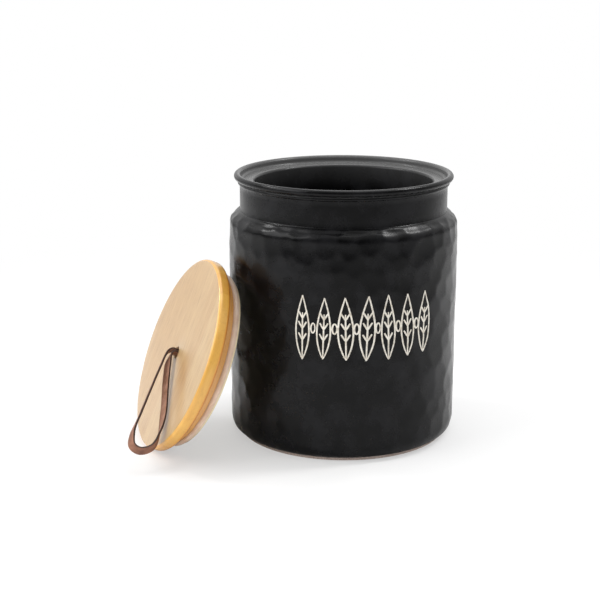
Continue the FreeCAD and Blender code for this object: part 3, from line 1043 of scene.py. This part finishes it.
@dataclass
class Pull:
    """The leather strip: its loop, the strands in the hole, the knot and the loose ends."""

    lid: Matrix
    strap_w: float = 6.0 * MM
    strap_t: float = 1.4 * MM
    lid_t: float = 18.6 * MM
    knot_gap: float = 0.3 * MM
    knot_h: float = 8.0 * MM
    root_rise: float = 3.2 * MM
    edge_round: float = 0.3 * MM
    swing_deg: float = 38.9
    roll_deg: float = 10.7
    step: float = 0.9 * MM
    columns: int = 6
    end_twist_deg: float = 28.0
    end_reach: float = 20.0 * MM
    back_twist_deg: float = 25.0
    stem_x: float = 0.75 * MM
    stem_z: tuple[float, ...] = (-14.0, -9.0, -4.0, -1.2)
    turn_half: tuple[float, ...] = (3.1 * MM, 4.1 * MM, 2.3 * MM)
    turn_bulge: float = 0.16
    bend_start: float = 0.6 * MM
    bend_end: Point = (3.5 * MM, 4.9 * MM)
    tail: tuple[Point, ...] = ((8.7, -10.2), (6.6, -7.6), (3.6, -4.2), (1.2, -1.0), (0.75, 3.0))
    route: tuple[Point, ...] = (
        (-0.75, -2.25), (-1.1, -0.6), (1.0, 2.4), (14.2, 6.3), (32.0, 10.5), (49.5, 14.5), (62.5, 17.4),
        (70.8, 16.4), (73.2, 11.0),
        (69.0, 3.4), (58.0, 0.2), (43.0, -0.4), (22.5, 0.9), (7.5, 1.0), (1.3, -0.7), (0.75, -2.25),
    )

    def axes(self) -> tuple[Vector, Vector, Vector, Vector]:
        """Along the loop, away from the face, the loop's strip width and the stem's strip width."""
        swing = math.radians(self.swing_deg)
        roll = math.radians(self.roll_deg)
        along = Vector((math.sin(swing), -math.cos(swing), 0))
        level = Vector((math.cos(swing), math.sin(swing), 0))
        out = Vector((0, 0, 1))
        width = level * math.cos(roll) + out * math.sin(roll)
        away = out * math.cos(roll) - level * math.sin(roll)
        return along, away, width, level

    def knot_z(self) -> float:
        """Height of the knot's middle in the lid's frame."""
        return -self.lid_t - self.knot_gap - 0.5 * self.knot_h

    def middle_line(self) -> tuple[np.ndarray, np.ndarray]:
        """The strip's middle line from one loose end to the other, and its width direction there."""
        along, away, width, level = (np.array(axis) for axis in self.axes())
        out = np.array((0.0, 0.0, 1.0))
        rows = []
        for x, z in self.tail:
            rows.append((-x * MM * along + (self.knot_z() + z * MM) * out, level))
        for z in self.stem_z:
            rows.append((-self.stem_x * along + z * MM * out, level))
        for x, y in self.route:
            rows.append((self.root_rise * out + x * MM * along + y * MM * away, width))
        for z in reversed(self.stem_z):
            rows.append((self.stem_x * along + z * MM * out, level))
        for x, z in reversed(self.tail):
            rows.append((x * MM * along + (self.knot_z() + z * MM) * out, level))
        places = np.array([row[0] for row in rows])
        widths = np.array([row[1] for row in rows])
        line, turned = smooth_path(places, widths, self.step)
        run = np.gradient(line, axis=0)
        run /= np.linalg.norm(run, axis=1)[:, None]
        far = self.root_rise * out + max(x for x, _ in self.route) * MM * along
        twist = math.radians(self.end_twist_deg) * ease(1 - (far - line) @ along / self.end_reach)
        reach = line @ along
        coming_back = (np.arange(len(line)) > np.argmax(reach)) & (line[:, 2] > 0)
        hold = coming_back * ease((reach - 2 * MM) / (9 * MM)) * ease((62 * MM - reach) / (18 * MM))
        twist -= math.radians(self.back_twist_deg) * hold
        turned = turned * np.cos(twist)[:, None] - np.cross(run, turned) * np.sin(twist)[:, None]
        return line, turned

    def thicken(self, piece: Object, leathers: list[Material], **settings: object) -> None:
        """Gives a skin the strip's thickness, its three leathers and softened edges."""
        for leather in leathers:
            piece.data.materials.append(leather)
        apply_modifier(piece, "SOLIDIFY", thickness=self.strap_t, material_offset=1, material_offset_rim=2, **settings)
        apply_modifier(piece, "BEVEL", width=self.edge_round, segments=2, limit_method="ANGLE",
                       angle_limit=math.radians(50))

    def strip(self, leathers: list[Material]) -> Object:
        """Models the whole strip from a flat grid that is laid along the middle line.

        Args:
            leathers: The grain side's, the flesh side's and the cut edge's materials.

        Returns:
            The strip.
        """
        places, widths = self.middle_line()
        count = len(places)
        piece, row, across = flat_grid("pull_strip", count, self.columns)
        rng = np.random.default_rng(5)
        waver = np.convolve(rng.normal(0, 1, count + 20), np.ones(21) / 21, "valid")[:count]
        half = 0.5 * self.strap_w * (1 + 0.06 * waver)
        write_points(piece, places[row] + widths[row] * (across * half[row])[:, None])
        self.thicken(piece, leathers, offset=0.0, use_even_offset=False)
        move_into_place(piece, self.lid)
        face_outwards(piece)
        smooth(piece, 40)
        return piece

    def wrap(self, name: str, tilt_deg: float, lift: float,
             leathers: list[Material]) -> Object:
        """Models one turn of the knot round the two strands.

        Args:
            name: The piece's name.
            tilt_deg: How far the turn leans across.
            lift: How far it lies above the knot's middle.
            leathers: The strip's three materials.

        Returns:
            The turn.
        """
        deselect_all()
        bpy.ops.mesh.primitive_cylinder_add(vertices=56, radius=1.0, depth=2.0, end_fill_type="NOTHING")
        piece = bpy.context.object
        piece.name = name
        make_active(piece)
        bpy.ops.object.mode_set(mode="EDIT")
        bpy.ops.mesh.select_all(action="SELECT")
        bpy.ops.mesh.subdivide(number_cuts=2)
        bpy.ops.object.mode_set(mode="OBJECT")
        points = read_points(piece)
        angle = np.arctan2(points[:, 1], points[:, 0])
        bulge = 1 - self.turn_bulge * points[:, 2] ** 2
        points[:, 0] = np.cos(angle) * self.turn_half[0] * bulge
        points[:, 1] = np.sin(angle) * self.turn_half[1] * bulge
        points[:, 2] = points[:, 2] * self.turn_half[2]
        write_points(piece, points)
        self.thicken(piece, leathers, offset=1.0)
        along, _, _, level = self.axes()
        stem = Matrix((along, Vector((0, 0, 1)).cross(along), Vector((0, 0, 1)))).transposed().to_4x4()
        lean = Matrix.Rotation(math.radians(tilt_deg), 4, "X")
        raise_up = Matrix.Translation((0, 0, self.knot_z() + lift))
        move_into_place(piece, self.lid @ raise_up @ stem @ lean)
        smooth(piece, 40)
        return piece

    def build(self, leathers: list[Material]) -> None:
        """Models the pull.

        Args:
            leathers: The grain side's, the flesh side's and the cut edge's materials.
        """
        strip = self.strip(leathers)
        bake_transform(strip)
        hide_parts("pull_strap")
        for name, tilt, lift in (("knot_turn_upper", 24, 0.9 * MM), ("knot_turn_lower", -22, -0.9 * MM)):
            turn = self.wrap(name, tilt, lift, leathers)
            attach(turn, "knot")
            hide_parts("strap_knot")
        log.info("pull_strip: %d faces", len(strip.data.polygons))


# The studio


@dataclass(frozen=True)
class Lamp:
    """One soft lamp of the studio."""

    name: str
    place: tuple[float, float, float]
    size: Point
    watts: float

    def add(self, aim: Vector) -> None:
        """Adds the lamp, pointed at a place."""
        data = bpy.data.lights.new(self.name, "AREA")
        data.shape = "RECTANGLE"
        data.size, data.size_y = self.size
        data.energy = self.watts
        lamp = bpy.data.objects.new(self.name, data)
        lamp.location = self.place
        lamp.rotation_euler = (aim - Vector(self.place)).to_track_quat("-Z", "Y").to_euler()
        bpy.context.scene.collection.objects.link(lamp)


@dataclass
class Studio:
    """A white sweep, soft lamps and the camera at the photograph's angle."""

    camera_y: float = -0.9036
    camera_z: float = 0.3281
    pitch: float = 0.259
    turn: float = 0.032
    focal_px: float = 1375.8
    image_px: float = 600.0
    sensor_mm: float = 36.0
    light: float = 0.5
    front_light: float = 0.12
    floor_white: float = 0.48
    aim: tuple[float, float, float] = (-0.02, 0.0, 0.09)
    lamps: tuple[Lamp, ...] = (
        Lamp("left_softbox", (-0.9, -0.35, 0.75), (0.8, 0.8), 7.0),
        Lamp("left_high_lamp", (-0.74, 0.22, 0.95), (0.2, 0.2), 2.6),
        Lamp("right_high_lamp", (0.68, 0.14, 0.99), (0.16, 0.3), 5.2),
        Lamp("top_softbox", (0.1, 0.25, 1.1), (0.8, 0.8), 5.0),
    )

    def camera(self) -> None:
        """Sets up the camera."""
        data = bpy.data.cameras.new("photo_camera")
        data.sensor_width = self.sensor_mm
        data.lens = self.focal_px * self.sensor_mm / self.image_px
        data.clip_start = 0.01
        data.clip_end = 50.0
        camera = bpy.data.objects.new("photo_camera", data)
        camera.location = (0.0, self.camera_y, self.camera_z)
        camera.rotation_euler = (math.pi / 2 - self.pitch, 0.0, self.turn)
        bpy.context.scene.collection.objects.link(camera)
        bpy.context.scene.camera = camera

    def world(self) -> None:
        """Sets an even white world, darker in front for reflections only. The camera sees plain white."""
        world = bpy.data.worlds.new("studio")
        bpy.context.scene.world = world
        world.use_nodes = True
        tree = world.node_tree
        back = tree.nodes["Background"]
        feed(tree, back, {"Color": WHITE, "Strength": self.light})
        white = add_node(tree, "Background", Color=WHITE, Strength=1.0)
        aim = add_node(tree, "TexCoord").outputs["Generated"]
        away = add_node(tree, "VectorMath", DOT, {0: aim, 1: (0.0, 0.55, 0.83)}).outputs["Value"]
        level = add_node(tree, "MapRange", SMOOTHSTEP, {"Value": away},
                         From_Min=-0.1, From_Max=0.6, To_Min=self.front_light, To_Max=1.0)
        mirror = add_node(tree, "Background", inputs={"Strength": level.outputs[0]}, Color=WHITE)
        path = add_node(tree, "LightPath")
        glossy = add_node(tree, "MixShader", inputs={
            0: path.outputs["Is Glossy Ray"], 1: back.outputs[0], 2: mirror.outputs[0]})
        mix = add_node(tree, "MixShader", inputs={
            0: path.outputs["Is Camera Ray"], 1: glossy.outputs[0], 2: white.outputs[0]})
        feed(tree, tree.nodes["World Output"], {"Surface": mix.outputs[0]})

    def floor(self) -> None:
        """Lays the white floor, which turns plain white far from the object."""
        deselect_all()
        bpy.ops.mesh.primitive_circle_add(vertices=96, radius=6.0, fill_type="NGON", location=(0, 0, 0))
        floor = bpy.context.object
        floor.name = "floor"
        material, tree, shader, where = new_material("white_sweep")
        reach = add_node(tree, "VectorMath", LENGTH, {0: where}).outputs["Value"]
        fade = add_node(tree, "MapRange", SMOOTHSTEP, {"Value": reach},
                        From_Min=0.16, From_Max=0.6, To_Min=self.floor_white, To_Max=1.0)
        feed(tree, shader, {"Base Color": linear("f4f4f4"), "Roughness": 0.9, "Specular IOR Level": 0.1})
        white = add_node(tree, "Emission", Color=WHITE, Strength=1.0)
        camera = add_node(tree, "LightPath").outputs["Is Camera Ray"]
        seen = add_node(tree, "Math", MULTIPLY, {0: fade.outputs[0], 1: camera})
        mix = add_node(tree, "MixShader", inputs={0: seen.outputs[0], 1: shader.outputs[0], 2: white.outputs[0]})
        feed(tree, tree.nodes["Material Output"], {"Surface": mix.outputs[0]})
        floor.data.materials.append(material)

    def build(self) -> None:
        """Sets up the whole studio."""
        bpy.context.scene.view_settings.view_transform = "Standard"
        self.camera()
        self.world()
        self.floor()
        for lamp in self.lamps:
            lamp.add(Vector(self.aim))


def main() -> None:
    """Builds the studio and every piece in order."""
    Studio().build()
    jar = Jar()
    body = jar.build(BlackGlaze().make(), BareStoneware().make())
    log.info("jar: %d faces", len(body.data.polygons))
    ornament = Ornament(jar).build(SlipLine().make())
    log.info("ornament: %d faces", len(ornament.data.polygons))
    place = lid_place()
    # The face takes the painted reflection of the strap.
    face = Bamboo("lacquered_bamboo_face", "caac7d", "bc9767", "ad7f4a", contrast=0.42, strap_reflection=0.6)
    # The side and the plug take painted shade: the disc's lower rounding and the plug above the seal.
    side = Bamboo("lacquered_bamboo_turned_side", "f0b850", "de9c38", "b98338", 0.2, contrast=0.15, painted_shade=0.8)
    plug = Bamboo("lacquered_bamboo_plug", "f9e6c2", "efd6a8", "dcbc84", 0.26, contrast=0.25, painted_shade=0.95,
                  shade_from_mm=-17.4, shade_to_mm=-14.6)
    Lid(place).build(face.make(place), side.make(place), plug.make(place), Silicone().make())
    leathers = [Leather("brown_leather_grain", "9c6c53", "6e4532"),
                Leather("brown_leather_flesh", "a67c66", "82593f", 0.8),
                Leather("brown_leather_cut_edge", "3a2013", "241107", 0.6)]
    Pull(place).build([leather.make() for leather in leathers])


if __name__ == "__main__":
    main()
